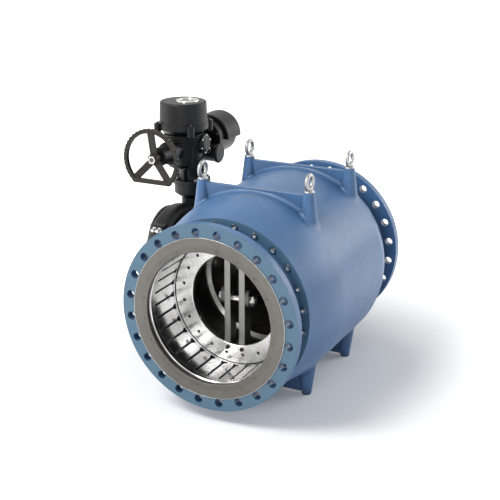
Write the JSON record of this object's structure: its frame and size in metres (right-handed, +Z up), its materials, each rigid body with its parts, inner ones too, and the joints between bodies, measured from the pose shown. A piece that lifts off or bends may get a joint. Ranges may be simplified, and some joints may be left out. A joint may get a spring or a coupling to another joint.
{
  "type": "piston control valve",
  "caption": "Flanged axial piston control valve with slotted outlet cage, crank-driven hollow piston, worm gearbox and electric actuator with handwheel.",
  "frame": {"origin": "centre of the outlet flange's drilled face, on the pipe axis", "axes": "+Y along the pipe axis from the outlet into the valve, +Z up, +X to the right seen from the outlet"},
  "size_m": [1.5209, 1.603, 1.591],
  "materials": {
    "epoxy_blue": "semi-gloss epoxy coat",
    "machined_steel": "turned face",
    "stainless": "fine-turned stainless",
    "bright_screws": "bright stainless fasteners",
    "dark_steel": "forged and machined",
    "black_oxide": "black oxide fasteners",
    "inner_coat": "dark wetted coat",
    "bronze": "cast bearing bronze",
    "seal_rubber": "smooth elastomer",
    "eyebolt_steel": "drop-forged, plain",
    "charcoal_paint": "satin powder coat",
    "wheel_paint": "satin paint on cast aluminium",
    "display_glass": "dark sight glass"
  },
  "bodies": {
    "casing": {"body_casing": "epoxy_blue", "support_saddles": "epoxy_blue", "inlet_flange": "epoxy_blue", "inner_housing": "inner_coat", "housing_ribs": "inner_coat", "outlet_section": "epoxy_blue", "outlet_cap_screws": "bright_screws", "outlet_facing_ring": "machined_steel", "clamp_ring": "dark_steel", "clamp_ring_screws": "black_oxide", "seat_ring": "stainless", "slotted_cage": "stainless", "guide_rails": "bronze", "nose_cap": "inner_coat", "m12_cap_screws": "black_oxide", "lifting_eyebolts": "eyebolt_steel", "shaft_bushes": "bronze", "shaft_seals": "seal_rubber", "seal_gland": "stainless", "gearbox_housing": "charcoal_paint", "gearbox_cover": "charcoal_paint", "m16_hex_bolts": "bright_screws", "gearbox_studs": "bright_screws", "stop_screws": "bright_screws", "worm_bearings": "bronze", "input_adapter": "charcoal_paint", "actuator_housing": "charcoal_paint", "switch_cover": "charcoal_paint", "switch_cover_screws": "dark_steel", "display_window": "display_glass", "display_bezel": "bright_screws", "motor_housing": "charcoal_paint", "motor_cowl": "charcoal_paint", "terminal_cover": "charcoal_paint", "cable_entry_plugs": "bright_screws", "side_cover": "charcoal_paint", "handwheel_bearing": "bronze"},
    "crank": {"crank_arm": "dark_steel", "crank_pin": "stainless", "crank_pin_discs": "dark_steel", "drive_shaft": "stainless", "shaft_keys": "dark_steel", "worm_wheel": "bronze", "position_pointer": "bright_screws"},
    "rods": {"connecting_rods": "dark_steel", "rod_tie_bar": "dark_steel", "rod_bushes": "bronze"},
    "piston": {"piston": "stainless", "piston_front_ring": "stainless", "piston_ring_screws": "black_oxide", "piston_seal": "seal_rubber", "crosshead_bars": "stainless", "crosshead_bolts": "black_oxide", "gudgeon_pin": "stainless", "gudgeon_nuts": "bright_screws"},
    "worm": {"worm_shaft": "dark_steel", "output_drive": "bronze"},
    "handwheel": {"handwheel": "wheel_paint", "handwheel_shaft": "dark_steel", "handwheel_nut": "bright_screws"}
  },
  "joints": [
    {"name": "crank_turn", "type": "hinge", "parent": "casing", "child": "crank", "pos_m": [0, 0.889, 0], "axis": [-1, 0, 0], "range_deg": [0, 60]},
    {"name": "piston_slide", "type": "slide", "parent": "casing", "child": "piston", "axis": [0, -1, 0], "range_m": [0, 0.242]},
    {"name": "rod_swing", "type": "hinge", "parent": "crank", "child": "rods", "pos_m": [0, 1.01, -0.20958], "axis": [-1, 0, 0], "range_deg": [-60, 0]},
    {"name": "worm_turn", "type": "hinge", "parent": "casing", "child": "worm", "pos_m": [-0.69, 1.065, 0], "axis": [0, 0, 1], "range_deg": [0, 2400]},
    {"name": "handwheel_turn", "type": "hinge", "parent": "casing", "child": "handwheel", "pos_m": [-0.746, 0.662, 0.662], "axis": [0, -1, 0], "continuous": true}
  ],
  "couplings": [
    {"joint": "piston_slide", "follows": "crank_turn", "m_per_rad": 0.23109},
    {"joint": "rod_swing", "follows": "crank_turn", "ratio": -1},
    {"joint": "worm_turn", "follows": "crank_turn", "ratio": 40}
  ]
}
